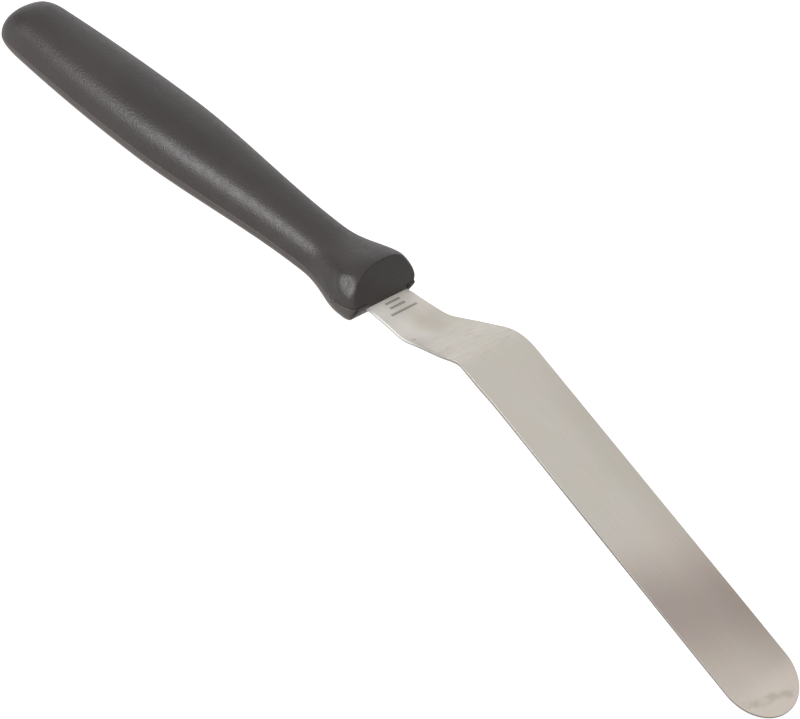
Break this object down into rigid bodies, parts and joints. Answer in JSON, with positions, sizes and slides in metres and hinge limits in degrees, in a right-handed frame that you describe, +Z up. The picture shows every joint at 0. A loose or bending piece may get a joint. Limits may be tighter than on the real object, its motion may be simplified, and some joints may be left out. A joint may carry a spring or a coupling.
{
  "type": "offset spatula",
  "caption": "Small offset spatula: thin steel blade with a round tip, bent up in a step before a domed plastic handle with a flat front face.",
  "frame": {"origin": "middle of the footprint, on the floor plane, with the spatula at rest as an arch on the end of its handle and the tip of its blade", "axes": "+X from the handle to the tip of the blade, +Z up out of the domed side of the handle, +Y to the left of someone looking along +X"},
  "size_m": [0.2364, 0.02, 0.0225],
  "materials": {
    "blade": "fine lengthwise brushing, satin",
    "handle_upper": "satin moulded, warm black",
    "handle_lower": "satin moulded, warm black"
  },
  "bodies": {
    "root": {"blade": "blade", "handle_upper": "handle_upper", "handle_lower": "handle_lower"}
  },
  "joints": []
}
